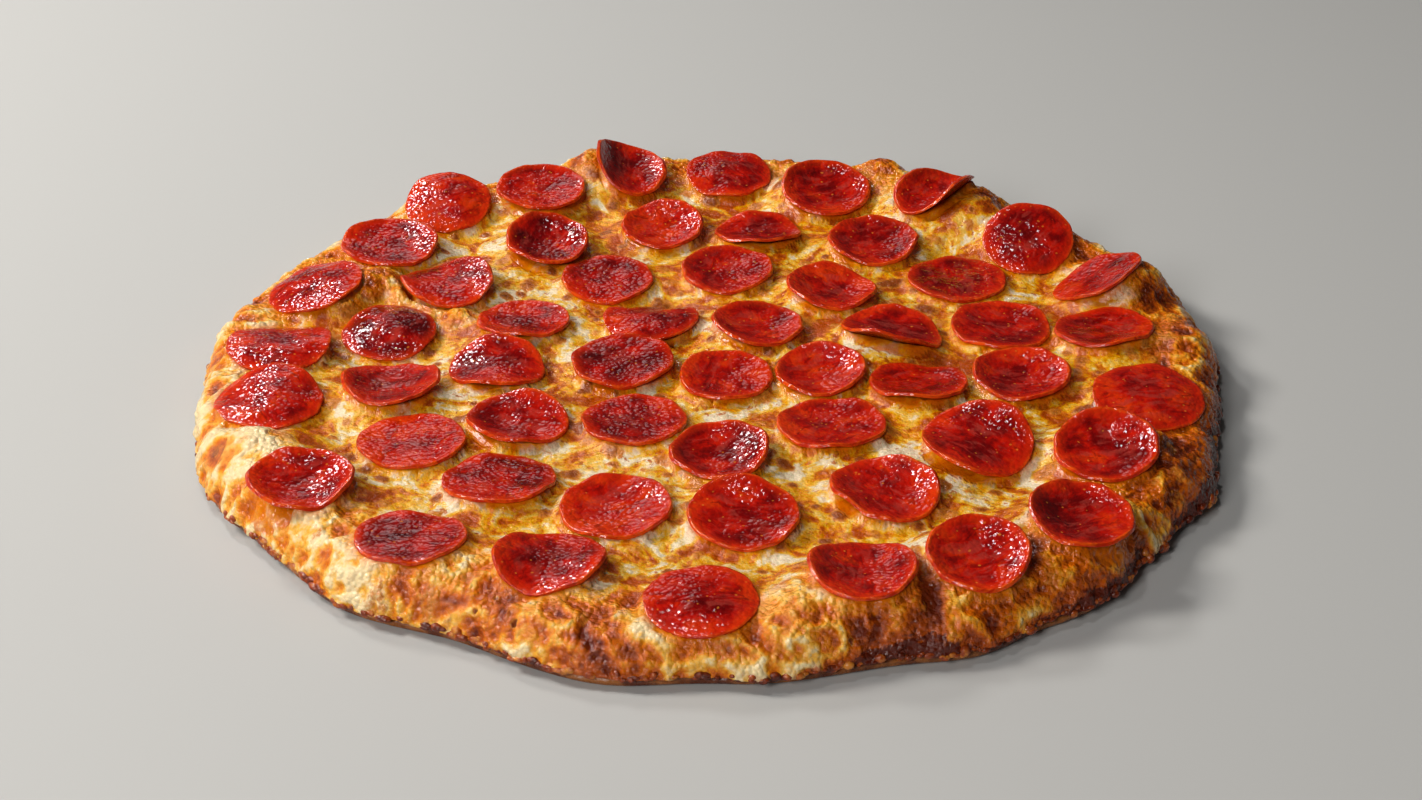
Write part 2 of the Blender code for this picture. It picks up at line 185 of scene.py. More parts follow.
# Baked beads and drips along the foot of the rim. Their widths, depths and rises are shares of
# their radius, and BEAD_LEAST is the share of them where no stretch below has more
BEAD_COUNT = 440
BEAD_RADII = (0.0006, 0.0019)
BEAD_HEIGHTS = (0.0010, 0.0058)
BEAD_WIDTHS = (0.8, 1.9)
BEAD_DEPTHS = (0.7, 1.1)
BEAD_RISES = (0.6, 1.1)
BEAD_SUNK = 0.3
BEAD_LUMPS = 0.22
BEAD_LUMP_SIZE = 0.9
BEAD_LUMP_STEP = 3.7
BEAD_LEAST = 0.12
FAR_OUT = 0.3

# Stretches with the most beads: compass angle, half width, share
BEAD_STRETCHES = (
    (222, 20, 1.0),
    (252, 16, 1.0),
    (281, 16, 0.9),
    (305, 14, 0.5),
    (330, 26, 0.6),
    (20, 25, 0.5),
)

# Dough
DOUGH_LEVELS = 3
DOUGH_RELIEF = 0.0005
DOUGH_GRAINS = (0.003, 0.0012)
DOUGH_INWARD = 0.5
DOUGH_SIDE_FADE = (0.5, 0.9)

# Darker and paler stretches of the rim, partly baking and partly painted light and shade: paler on
# the lit left, darker on the shaded right and front. Compass angle, half width, amount
BAKING_LIGHT_AND_SHADE = (
    (0, 34, 0.12),
    (338, 22, 0.20),
    (316, 18, 0.22),
    (292, 20, 0.22),
    (258, 24, 0.06),
    (222, 20, -0.06),
    (192, 30, -0.15),
)

# Creamy and browned patches of the rim and of the flat cheese, and broad patches of painted light
# and shade: place, radius, amount. Their outlines are ragged by a share of the radius
BAKED_LIGHT_AND_SHADE_PATCHES = (
    (0.0801, -0.1578, 0.016, -0.10),
    (0.1365, -0.1084, 0.012, -0.12),
    (0.1401, -0.1179, 0.010, -0.10),
    (0.0223, -0.1655, 0.011, 0.03),
    (-0.0860, -0.1370, 0.012, 0.07),
    (-0.0400, -0.1560, 0.013, 0.06),
    (-0.0186, -0.1610, 0.012, -0.04),
    (-0.0634, -0.1505, 0.012, 0.05),
    (-0.1058, -0.1349, 0.012, -0.14),
    (-0.1200, 0.0570, 0.013, -0.13),
    (-0.1070, 0.0440, 0.011, -0.08),
    (-0.0930, 0.0330, 0.008, 0.12),
    (0.0960, 0.1100, 0.020, 0.04),
    (0.0690, 0.1480, 0.016, 0.02),
    (0.1380, 0.0880, 0.010, 0.18),
    (0.1270, -0.0210, 0.010, 0.08),
    (-0.1185, -0.1174, 0.012, 0.08),
    (0.1083, -0.1337, 0.014, 0.06),
    (0.0547, -0.1607, 0.012, 0.06),
    (0.1536, -0.0813, 0.016, 0.06),
    (-0.0586, -0.1329, 0.006, 0.25),
    # Broad painted shade where the light falls off, over the right and the far side of the cheese
    (0.1000, 0.0000, 0.080, 0.10),
    (0.0200, 0.1100, 0.110, 0.08),
    # Broad painted light over the near left of the cheese
    (-0.0900, -0.0800, 0.050, -0.05),
    (-0.1330, -0.0575, 0.010, 0.07),
)
PATCH_RAGGED = 0.4
PATCH_RAGGED_SIZE = 0.006
PATCH_FADE = (0.3, 1.1)


def deselect():
    """Nothing selected, so that the next operator acts on its own piece alone."""
    bpy.ops.object.select_all(action="DESELECT")


def select_only(item):
    """One piece selected and active."""
    deselect()
    item.select_set(True)
    bpy.context.view_layer.objects.active = item


def ease(value, low, high):
    """Smooth rise from 0 at low to 1 at high."""
    share = max(0.0, min(1.0, (value - low) / (high - low)))
    return share * share * (3 - 2 * share)


def compass_of(x, y):
    """Compass angle of a place, from 0 to 360."""
    return math.degrees(math.atan2(y, x)) % 360


def angle_between(first, second):
    """Smallest angle between two compass angles."""
    return abs((first - second + 180) % 360 - 180)


def grain(x, y, z, size, layer=0.0):
    """Noise from about -1 to 1 whose lumps are about one size across."""
    return noise.noise(Vector((x / size, y / size, z / size + layer)))


def worked_copy(node, name):
    """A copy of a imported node, merged and turned back into quads, ready to be worked up."""
    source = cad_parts[node]
    item = bpy.data.objects.new(name, source.data.copy())
    item.data.name = name
    bpy.context.scene.collection.objects.link(item)
    item.data.materials.clear()
    select_only(item)
    bpy.ops.mesh.customdata_custom_splitnormals_clear()
    bpy.ops.object.mode_set(mode="EDIT")
    bpy.ops.mesh.select_all(action="SELECT")
    bpy.ops.mesh.remove_doubles(threshold=MERGE_DISTANCE)
    bpy.ops.mesh.tris_convert_to_quads(face_threshold=math.radians(QUAD_ANGLE),
                                     shape_threshold=math.radians(QUAD_ANGLE))
    bpy.ops.object.mode_set(mode="OBJECT")
    return item


def subdivide(item, levels):
    """Round a piece with a Subdivision Surface, applied."""
    rounding = item.modifiers.new("rounding", "SUBSURF")
    rounding.levels = levels
    rounding.render_levels = levels
    select_only(item)
    bpy.ops.object.modifier_apply(modifier=rounding.name)


def points_of(item):
    """A piece's points as an array."""
    points = np.empty(len(item.data.vertices) * 3)
    item.data.vertices.foreach_get("co", points)
    return points.reshape(-1, 3)


def normals_of(item):
    """A piece's point normals as an array."""
    normals = np.empty(len(item.data.vertices) * 3)
    item.data.vertices.foreach_get("normal", normals)
    return normals.reshape(-1, 3)


def move_points(item, points):
    """Put a piece's points where the array says."""
    item.data.vertices.foreach_set("co", np.asarray(points).ravel())
    item.data.update()


def store(item, name, values):
    """Keep one number for each point, for the materials to read."""
    layer = item.data.attributes.new(name, "FLOAT", "POINT")
    layer.data.foreach_set("value", np.asarray(values, dtype=float))


def store_places(item, name, places):
    """Keep one place for each point, for the materials to read."""
    layer = item.data.attributes.new(name, "FLOAT_VECTOR", "POINT")
    layer.data.foreach_set("vector", np.asarray(places, dtype=float).ravel())


def read_places(item, name):
    """The places that store_places kept, after the piece was subdivided."""
    places = np.empty(len(item.data.vertices) * 3)
    item.data.attributes[name].data.foreach_get("vector", places)
    return places.reshape(-1, 3)


def read_numbers(item, name):
    """The numbers that store kept, after the piece was subdivided."""
    numbers = np.empty(len(item.data.vertices))
    item.data.attributes[name].data.foreach_get("value", numbers)
    return numbers


def slice_axes(points):
    """Middle of a slice, its two flat directions and its upward direction."""
    middle = points.mean(axis=0)
    spread = np.linalg.svd(points - middle, full_matrices=False)[2]
    upward = spread[2] * (1 if spread[2][2] > 0 else -1)
    along = spread[0]
    across = np.cross(upward, along)
    return middle, along, across, upward


def flatten(item, number):
    """Give each point its place on the slice, and how far out it is."""
    points = points_of(item)
    middle, along, across, upward = slice_axes(points)
    offsets = points - middle
    out = rings_out(item, points)
    places = np.column_stack((offsets @ along, offsets @ across, number + offsets @ upward / SLICE_SPACING))
    store_places(item, "flat", places)
    store(item, "out", out)
    thin_rim(item, out)


def rings_out(item, points):
    """How far out each point of a slice is: its rim, its two middle points or the ring between."""
    rims = {corner for edge in sharp_edges(item) for corner in edge}
    inner = [index for index in range(len(points)) if index not in rims]
    middle = points[inner].mean(axis=0)
    nearest = sorted(inner, key=lambda index: np.linalg.norm(points[index] - middle))
    out = np.full(len(points), SLICE_RING)
    out[list(rims)] = 1.0
    out[nearest[:2]] = 0.0
    return out


def sharp_edges(item):
    """Corners of the edges at which two faces meet at more than the rim's angle."""
    meeting = {}
    for face in item.data.polygons:
        for key in face.edge_keys:
            meeting.setdefault(key, []).append(face.normal)
    limit = math.cos(math.radians(RIM_EDGE_ANGLE))
    return [key for key, (first, second) in meeting.items() if first.dot(second) < limit]


def thin_rim(item, out):
    """Draw the underside of a slice up towards its top where it nears the rim."""
    points = points_of(item)
    upward = slice_axes(points)[3]
    downward = np.zeros(len(points))
    for face in item.data.polygons:
        if face.normal.dot(Vector(upward)) < -math.cos(math.radians(RIM_EDGE_ANGLE)):
            downward[list(face.vertices)] = 1
    points += np.outer(downward * out ** 2 * RIM_THINNING, upward)
    move_points(item, points)


def crease_rim(item):
    """Mark the sharp edges round the top and bottom of a slice so that they stay crisp."""
    select_only(item)
    bpy.ops.object.mode_set(mode="EDIT")
    bpy.ops.mesh.select_mode(type="EDGE")
    bpy.ops.mesh.select_all(action="DESELECT")
    bpy.ops.mesh.edges_select_sharp(sharpness=math.radians(RIM_EDGE_ANGLE))
    bpy.ops.transform.edge_crease(value=SLICE_RIM_CREASE)
    bpy.ops.mesh.select_mode(type="VERT")
    bpy.ops.object.mode_set(mode="OBJECT")


def ruffle(item, number):
    """Give a slice its wavy rim, its dents and its puckered skin."""
    rng = random.Random(SEED + number)
    waves = [(turns, rng.uniform(0, math.tau), rng.uniform(*RUFFLE_SHARES) / math.sqrt(turns))
             for turns in RUFFLE_TURNS]
    points = points_of(item)
    middle, _, _, upward = slice_axes(points)
    flat = read_places(item, "flat")
    out = read_numbers(item, "out")
    moved = middle + (points - middle) * SLICE_GROWTH
    calm = FOLDED_CALM if number in FOLDED_SLICES else 1.0
    for index, (place, share) in enumerate(zip(flat, out)):
        turn = math.atan2(place[1], place[0])
        wave = sum(height * math.cos(turns * turn + phase) for turns, phase, height in waves)
        lift = RUFFLE_HEIGHT * wave * share ** 3
        lift += DENT_HEIGHT * grain(place[0], place[1], 0, DENT_SIZE, DENT_STEP * number)
        lift += PUCKER_HEIGHT * grain(place[0], place[1], 0, PUCKER_SIZE, PUCKER_STEP * number)
        lift *= calm
        around = (RAGGED_TEETH * math.cos(turn), RAGGED_TEETH * math.sin(turn), 0)
        ragged = RAGGED_RIM * share ** 4 * grain(*around, 1.0, RAGGED_STEP * number)
        outward = moved[index] - middle
        moved[index] += upward * lift + outward / max(1e-9, np.linalg.norm(outward)) * ragged
    move_points(item, moved)


def make_slice(number, finish):
    """One curled pepperoni slice over its node."""
    node = f"pepperoni_{number:02d}"
    item = worked_copy(node, f"slice_{number:02d}")
    flatten(item, number)
    crease_rim(item)
    subdivide(item, SLICE_LEVELS)
    ruffle(item, number)
    finish_piece(item, finish, "pepperoni", node)
    return item


def finish_piece(item, finish, slot, *nodes):
    """Shade a piece smooth, give it its material and let it stand for its nodes."""
    select_only(item)
    bpy.ops.object.shade_smooth()
    item.data.materials.append(finish)
    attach(item, "root")
    if nodes:
        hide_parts(*nodes)


def tree_of(items):
    """One search tree over the faces of several pieces."""
    points = []
    faces = []
    for item in items:
        start = len(points)
        points += [vert.co.copy() for vert in item.data.vertices]
        faces += [[start + corner for corner in face.vertices] for face in item.data.polygons]
    return BVHTree.FromPolygons(points, faces)


def underside_above(tree, x, y):
    """Height of the lowest slice face over a place, or None in the open."""
    found = tree.ray_cast(Vector((x + RAY_SHIFT, y + RAY_SHIFT, -1)), Vector((0, 0, 1)))[0]
    return None if found is None else found.z


def is_covered(tree, x, y, margin):
    """Whether slices hide a place and what is within a margin of it."""
    around = ((0, 0), (margin, 0), (-margin, 0), (0, margin), (0, -margin))
    return all(underside_above(tree, x + right, y + away) is not None for right, away in around)


class Outline:
    """How far out the cheese reaches in each direction."""

    def __init__(self, item):
        self.reach = [0.0] * OUTLINE_SECTORS
        for vert in item.data.vertices:
            sector = int(compass_of(vert.co.x, vert.co.y) * OUTLINE_SECTORS / 360) % OUTLINE_SECTORS
            self.reach[sector] = max(self.reach[sector], math.hypot(vert.co.x, vert.co.y))

    def share_out(self, x, y):
        """Distance out as a share of the outline's."""
        place = compass_of(x, y) * OUTLINE_SECTORS / 360 - 0.5
        sector = int(math.floor(place))
        part = place - sector
        low = self.reach[sector % OUTLINE_SECTORS]
        high = self.reach[(sector + 1) % OUTLINE_SECTORS]
        return math.hypot(x, y) / (low + part * (high - low))


def refine_open_cheese(item, slices_tree):
    """Halve the faces of the cheese's top that the slices leave open."""
    select_only(item)
    bpy.ops.object.mode_set(mode="EDIT")
    bpy.ops.mesh.select_all(action="DESELECT")
    bpy.ops.mesh.select_mode(type="FACE")
    bpy.ops.object.mode_set(mode="OBJECT")
    for face in item.data.polygons:
        x, y, _ = face.center
        face.select = face.normal.z > TOP_LEAST and not is_covered(slices_tree, x, y, COVER_MARGIN)
    bpy.ops.object.mode_set(mode="EDIT")
    bpy.ops.mesh.subdivide(number_cuts=1)
    bpy.ops.mesh.select_mode(type="VERT")
    bpy.ops.object.mode_set(mode="OBJECT")


class Blisters:
    """Small raised bubbles of the cheese, some of them toasted, in the open places."""

    def __init__(self, slices_tree, reach):
        rng = random.Random(SEED)
        self.rows = []
        for _ in range(BLISTER_TRIES):
            x = rng.uniform(-reach, reach)
            y = rng.uniform(-reach, reach)
            radius = rng.triangular(*BLISTER_RADII, BLISTER_RADII[0])
            toast = rng.random() ** TOAST_POWER
            if math.hypot(x, y) > reach or underside_above(slices_tree, x, y) is not None:
                continue
            if all(math.hypot(x - row[0], y - row[1]) > BLISTER_SPACING * (radius + row[2])
                   for row in self.rows):
                turn = rng.uniform(0, math.pi)
                stretch = rng.uniform(*BLISTER_STRETCH)
                self.rows.append((x, y, radius, toast, turn, stretch))
        self.tree = KDTree(len(self.rows))
        for index, row in enumerate(self.rows):
            self.tree.insert((row[0], row[1], 0), index)
        self.tree.balance()

    def at(self, x, y):
        """Height and toasting of the blisters at a place."""
        height = toast = 0.0
        furthest = BLISTER_RADII[1] * BLISTER_LONGEST
        for _, index, _ in self.tree.find_range((x, y, 0), furthest):
            centre_x, centre_y, radius, browning, turn, stretch = self.rows[index]
            right = x - centre_x
            away = y - centre_y
            along = (right * math.cos(turn) + away * math.sin(turn)) / stretch
            across = away * math.cos(turn) - right * math.sin(turn)
            apart = math.hypot(along, across) / radius
            apart += BLISTER_RAGGED * grain(x, y, 0, BLISTER_RAGGED_SIZE)
            if apart < BLISTER_REACH:
                height = max(height, radius * BLISTER_HEIGHT * (1 - ease(apart, *BLISTER_FADE)))
                toast = max(toast, browning * (1 - ease(apart, *TOAST_FADE)))
        return height, toast


def field_relief(x, y):
    """Soft lumps and melted strands of the flat cheese."""
    warp, warp_size = FIELD_WARP
    warp_x = x + warp * grain(x, y, 0, warp_size, 2.0)
    warp_y = y + warp * grain(x, y, 0, warp_size, 9.0)
    lumps = FIELD_LUMPS[0] * grain(x, y, 0, FIELD_LUMPS[1])
    small_lumps = FIELD_SMALL_LUMPS[0] * grain(x, y, 0, FIELD_SMALL_LUMPS[1], 1.0)
    strand = 1 - abs(grain(warp_x, warp_y, 0, FIELD_STRANDS[1], 4.0)) * STRAND_SHARPNESS
    return lumps + small_lumps + FIELD_STRANDS[0] * max(0.0, strand)


def baking_light_and_shade(x, y, rim):
    """How much darker than the mean the cheese is coloured, by baking and by painted light and shade: by
    direction on the rim, and in patches.
    """
    compass = compass_of(x, y)
    total = rim * sum(amount * ease(1 - angle_between(compass, centre) / width, 0.0, 1.0)
                      for centre, width, amount in BAKING_LIGHT_AND_SHADE)
    for patch_x, patch_y, radius, amount in BAKED_LIGHT_AND_SHADE_PATCHES:
        apart = math.hypot(x - patch_x, y - patch_y) / radius
        apart += PATCH_RAGGED * grain(x, y, 0, PATCH_RAGGED_SIZE, 2.0)
        total += amount * (1 - ease(apart, *PATCH_FADE))
    return total


def rim_relief(x, y, z):
    """Granular, rope-like crust of the cheese on the rim."""
    nearest = noise.voronoi(Vector((x, y, z * RIM_BEAD_HEIGHT_WEIGHT)) / RIM_BEADS[1])[0]
    beads = RIM_BEADS[0] * (1 - min(1.0, nearest[0] * RIM_BEAD_SHARPNESS))
    ropes = RIM_ROPES[0] * (1 - abs(grain(x, y, z, RIM_ROPES[1], 6.0)) * ROPE_SHARPNESS)
    strings = RIM_STRINGS[0] * (1 - abs(grain(x, y, z, RIM_STRINGS[1], 8.0)) * ROPE_SHARPNESS)
    lumps = RIM_LUMPS[0] * grain(x, y, z, RIM_LUMPS[1], 3.0)
    return beads + ropes + strings + lumps


def pore_depth(x, y):
    """How deep the pores of the rim are at a place, and how dark they look."""
    depth = dark = 0.0
    for pore_x, pore_y, radius, deep in PORES:
        apart = math.hypot(x - pore_x, y - pore_y) / radius
        depth = max(depth, deep * (1 - ease(apart, *PORE_FADE)))
        dark = max(dark, 1 - ease(apart, *PORE_DARK_FADE))
    return depth, dark


def swell_height(slices_tree, x, y, z):
    """How far the cheese swells up at a place, less where a slice is near."""
    height = 0.0
    for swell_x, swell_y, radius, rise in SWELLS:
        apart = math.hypot(x - swell_x, y - swell_y) / radius
        height = max(height, rise * (1 - ease(apart, *SWELL_FADE)))
    if height == 0:
        return 0.0
    near = slices_tree.find_nearest(Vector((x, y, z + height)))[0]
    return height * ease(math.hypot(near.x - x, near.y - y), 0.0, SWELL_CLEARANCE)


def shape_cheese(item, slices_tree, outline, blisters):
    """Relief of the whole top, and the cheese drawn to the slices that lie on it."""
    points = points_of(item)
    normals = normals_of(item)
    rims, toasts, ridges, bakes_light_and_shade = (np.zeros(len(points)) for _ in range(4))
    for index, (point, normal) in enumerate(zip(points, normals)):
        x, y, z = point
        top = ease(normal[2], *TOP_FADE)
        out = outline.share_out(x, y) + RIM_WANDER * grain(x, y, 0, RIM_WANDER_SIZE, 5.0)
        swell = swell_height(slices_tree, x, y, z)
        rim = max(ease(out, RIM_START, RIM_FULL), ease(swell, 0.0, SWELL_CRUST_HEIGHT))
        rims[index] = rim
        bakes_light_and_shade[index] = baking_light_and_shade(x, y, rim)
        if top == 0:
            continue
        blister, toast = blisters.at(x, y)
        crust = rim_relief(x, y, z)
        melted = field_relief(x, y)
        pore, dark = pore_depth(x, y)
        toasts[index] = max(toast * (1 - RIM_CALM * rim), PORE_TOAST * dark)
        ridges[index] = rim * crust / RIM_RELIEF + (1 - rim) * melted / FIELD_RELIEF
        raised = (1 - rim) * (melted + blister) + rim * (crust + (1 - RIM_CALM) * blister)
        points[index] = point + normal * top * (raised * (1 - dark) - pore)
        points[index][2] += swell
    move_points(item, points)
    for name, values in (("rim", rims), ("toast", toasts), ("ridge", ridges), ("bake", bakes_light_and_shade)):
        store(item, name, values)
    store(item, "oil", draw_to_slices(item, slices_tree))


def draw_to_slices(item, slices_tree):
    """Press the cheese under the slices, lift it to where they touch, and say where their oil and its
    painted shade run.
    """
    points = points_of(item)
    normals = normals_of(item)
    oil = np.zeros(len(points))
    for index, (point, normal) in enumerate(zip(points, normals)):
        if normal[2] < TOP_LEAST:
            continue
        x, y, z = point
        under = underside_above(slices_tree, x, y)
        if under is not None:
            gap = under - z
            hold = 1 - ease(gap, STICK_GAP, LOOSE_GAP)
            points[index][2] = z + (gap - PRESSED_IN) * (1.0 if gap < STICK_GAP else hold)
            oil[index] = 1.0
            continue
        near, _, _, distance = slices_tree.find_nearest(Vector((x, y, z)), OIL_WIDTH * 1.5)
        if near is None:
            continue
        apart = math.hypot(near.x - x, near.y - y)
        oil[index] = 1 - ease(distance, 0.0, OIL_WIDTH)
        step = near.z - z
        if -STICK_GAP < step < STICK_GAP:
            points[index][2] = z + COLLAR_SHARE * step * (1 - ease(apart, 0.0, COLLAR_WIDTH))
    move_points(item, points)
    return oil


def make_cheese(finish, slices_tree):
    """The melted cheese over its node."""
    item = worked_copy("melted_cheese", "cheese")
    outline = Outline(item)
    subdivide(item, CHEESE_LEVELS)
    refine_open_cheese(item, slices_tree)
    blisters = Blisters(slices_tree, max(outline.reach))
    shape_cheese(item, slices_tree, outline, blisters)
    finish_piece(item, finish, "melted_cheese", "melted_cheese")
    return item


def make_dough(finish):
    """The baked dough over its node, ragged round its edge."""
    item = worked_copy("dough_base", "dough")
    subdivide(item, DOUGH_LEVELS)
    points = points_of(item)
    for index, normal in enumerate(normals_of(item)):
        x, y, z = points[index]
        side = 1 - ease(abs(normal[2]), *DOUGH_SIDE_FADE)
        coarse = grain(x, y, z, DOUGH_GRAINS[0], 4.0)
        fine = grain(x, y, z, DOUGH_GRAINS[1], 6.0)
        points[index][:2] += normal[:2] * side * DOUGH_RELIEF * (coarse + fine - DOUGH_INWARD)
    move_points(item, points)
    finish_piece(item, finish, "baked_dough", "dough_base")


def bead_share(compass):
    """How many beads a stretch of the foot has, from 0 to 1."""
    shares = (share * ease(1 - angle_between(compass, centre) / width, 0.0, 0.5)
              for centre, width, share in BEAD_STRETCHES)
    return max(BEAD_LEAST, *shares)


def foot_place(cheese_tree, compass, height):
    """Where the side of the cheese is at a compass angle and a height."""
    outward = Vector((math.cos(math.radians(compass)), math.sin(math.radians(compass)), 0))
    start = outward * FAR_OUT + Vector((0, 0, height))
    return cheese_tree.ray_cast(start, -outward)[0], outward


def place_bead(model, rng, place, outward, number):
    """A copy of the bead, lumpy and drawn out, sunk into the foot of the rim."""
    bead = bpy.data.objects.new(f"bead_{number}", model.data.copy())
    bpy.context.scene.collection.objects.link(bead)
    radius = rng.triangular(*BEAD_RADII, BEAD_RADII[0])
    across = Vector((-outward.y, outward.x, 0))
    wide = radius * rng.uniform(*BEAD_WIDTHS)
    deep = radius * rng.uniform(*BEAD_DEPTHS)
    high = radius * rng.uniform(*BEAD_RISES)
    middle = place - outward * deep * BEAD_SUNK
    middle.z = max(middle.z, high * (1 + BEAD_LUMPS))
    for vert in bead.data.vertices:
        right, away, up = vert.co
        lump = 1 + BEAD_LUMPS * grain(right, away, up, BEAD_LUMP_SIZE, BEAD_LUMP_STEP * number)
        vert.co = middle + (across * right * wide + outward * away * deep + Vector((0, 0, up * high))) * lump
    return bead


def make_beads(finish, cheese_tree):
    """Small dark beads and drips of baked cheese along the foot of the rim."""
    rng = random.Random(SEED + 1)
    deselect()
    bpy.ops.mesh.primitive_ico_sphere_add(subdivisions=2, radius=1.0, location=(0, 0, 0))
    model = bpy.context.object
    beads = []
    while len(beads) < BEAD_COUNT:
        compass = rng.uniform(0, 360)
        place, outward = foot_place(cheese_tree, compass, rng.triangular(*BEAD_HEIGHTS, BEAD_HEIGHTS[0]))
        if place is not None and rng.random() < bead_share(compass):
            beads.append(place_bead(model, rng, place, outward, len(beads)))
    bpy.data.objects.remove(model)
    select_only(beads[0])
    for bead in beads:
        bead.select_set(True)
    bpy.ops.object.join()
    beads[0].name = "foot_beads"
    finish_piece(beads[0], finish, "melted_cheese")


def colour(red, green, blue):
    """A colour with full cover."""
    return (red, green, blue, 1.0)


# Colours of the cheese
# Orange oil round the slices, also painted shade where they meet the cheese
ORANGE_OIL_AND_SHADE = colour(0.66, 0.15, 0.001)
TOASTED_GOLD = colour(0.62, 0.20, 0.018)
TOASTED_BROWN = colour(0.27, 0.055, 0.006)
TOASTED_FLECKS = colour(0.50, 0.11, 0.004)
CARAMEL = colour(0.46, 0.075, 0.004)
SCORCHED = colour(0.11, 0.012, 0.003)

# Colours of the meat, the dough and the floor
# Mauve fat, also painted sheen in the middle of the slices
MAUVE_FAT_AND_SHEEN = colour(0.42, 0.050, 0.035)
DARK_VEINS = colour(0.11, 0.002, 0.002)
ORANGE_DOTS = colour(0.85, 0.26, 0.03)
# Orange rim and edges: partly the meat's own colour, partly painted glow of light through the thin edge
SLICE_RIM_AND_GLOW = colour(0.72, 0.030, 0.003)
SLICE_EDGE_DARK = colour(0.50, 0.020, 0.002)
SLICE_EDGE_LIGHT = colour(0.78, 0.09, 0.004)
BURNT_DOUGH = colour(0.12, 0.024, 0.006)
BROWN_DOUGH = colour(0.34, 0.11, 0.022)
PALE_FLOOR = colour(0.52, 0.52, 0.51)

# Colour ramps, from dark to light: a tone and its colour
FIELD_TONES = (
    (0.430, colour(0.42, 0.060, 0.000)),
    (0.485, colour(0.68, 0.180, 0.000)),
    (0.535, colour(0.83, 0.390, 0.000)),
    (0.585, colour(0.83, 0.520, 0.085)),
    (0.635, colour(0.86, 0.720, 0.490)),
)
RIM_TONES = (
    (0.13, colour(0.16, 0.017, 0.001)),
    (0.28, colour(0.43, 0.070, 0.001)),
    (0.40, colour(0.67, 0.135, 0.001)),
    (0.51, colour(0.84, 0.270, 0.005)),
    (0.62, colour(0.93, 0.480, 0.060)),
    (0.74, colour(0.94, 0.720, 0.390)),
)
MEAT_TONES = (
    (0.42, colour(0.065, 0.000, 0.001)),
    (0.53, colour(0.220, 0.001, 0.001)),
    (0.62, colour(0.500, 0.006, 0.001)),
    (0.74, colour(0.740, 0.045, 0.002)),
)
BEAD_TONES = (
    (0.38, colour(0.10, 0.012, 0.003)),
    (0.52, colour(0.34, 0.050, 0.005)),
    (0.66, colour(0.68, 0.240, 0.030)),
)

# Sizes of the patterns in the materials
FIELD_PATCHES = 0.014
RIM_PATCHES = 0.009
FOOT_PATCHES = 0.007
FLECKS = 0.0032
RAGGED_GRAIN = 0.0016
CHEESE_GRAIN = 0.0014
RIM_CRUMBS = 0.0018
MEAT_BLOTCHES = 0.009
MEAT_HUES = 0.011
MEAT_STREAKS = 0.0031
MEAT_DOTS = 0.0034
MEAT_GRAIN = 0.0016
MEAT_CELLS = 0.0017
DOUGH_PATCHES = 0.012
DOUGH_GRAIN = 0.0018
BEAD_PATCHES = 0.006
BEAD_GRAIN = 0.0008

# Depths of the fine relief in the materials
CHEESE_BUMP = 0.0009
MEAT_BUMP = 0.0004
DOUGH_BUMP = 0.0006
BEAD_BUMP = 0.0003


